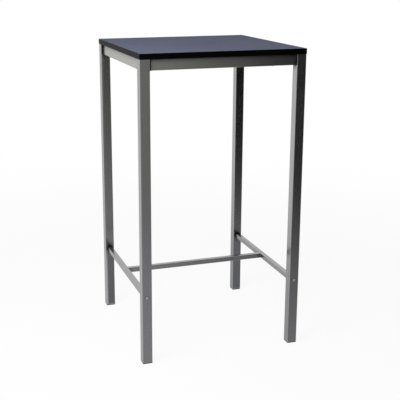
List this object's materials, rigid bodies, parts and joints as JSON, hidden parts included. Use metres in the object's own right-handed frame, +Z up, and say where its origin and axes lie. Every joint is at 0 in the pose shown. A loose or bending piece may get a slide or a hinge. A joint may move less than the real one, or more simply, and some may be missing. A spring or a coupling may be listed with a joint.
{
  "type": "pub table",
  "caption": "Bar-height square table: slate-grey laminated top with a black edge, slim square-tube legs and aprons in satin silver, and an H-shaped stretcher low between the legs.",
  "frame": {"origin": "on the floor, midway between the four legs and under the middle of the top", "axes": "+Z up, +X to the right along the front edge, +Y to the back; the side rails of the stretcher run along Y and its cross rail along X"},
  "size_m": [0.6, 0.6046, 1.1],
  "materials": {
    "laminate": "fine matt slate-grey decor",
    "edge_band": "black satin edge band",
    "board": "raw particle board, hidden",
    "backer": "plain dark backing sheet",
    "frame_metal": "satin silver-grey",
    "black_nylon": "moulded, lightly grained",
    "sleeve_brass": "machined",
    "fastener": "bright zinc"
  },
  "bodies": {
    "root": {"top_core": "board", "top_laminate": "laminate", "top_backer": "backer", "edge_band_front": "edge_band", "edge_band_right": "edge_band", "edge_band_back": "edge_band", "edge_band_left": "edge_band", "leg_front_left": "frame_metal", "leg_front_right": "frame_metal", "leg_back_right": "frame_metal", "leg_back_left": "frame_metal", "apron_front": "frame_metal", "apron_right": "frame_metal", "apron_back": "frame_metal", "apron_left": "frame_metal", "side_rail_left": "frame_metal", "side_rail_right": "frame_metal", "cross_rail": "frame_metal", "cross_rail_welds": "frame_metal", "connector_front_left": "black_nylon", "connector_front_right": "black_nylon", "connector_back_right": "black_nylon", "connector_back_left": "black_nylon", "foot_front_left": "black_nylon", "foot_front_right": "black_nylon", "foot_back_right": "black_nylon", "foot_back_left": "black_nylon", "rail_insert_front_left": "black_nylon", "rail_insert_front_right": "black_nylon", "rail_insert_back_right": "black_nylon", "rail_insert_back_left": "black_nylon", "rail_insert_sleeves": "sleeve_brass", "stretcher_bolts": "fastener", "top_screws": "fastener"}
  },
  "joints": []
}
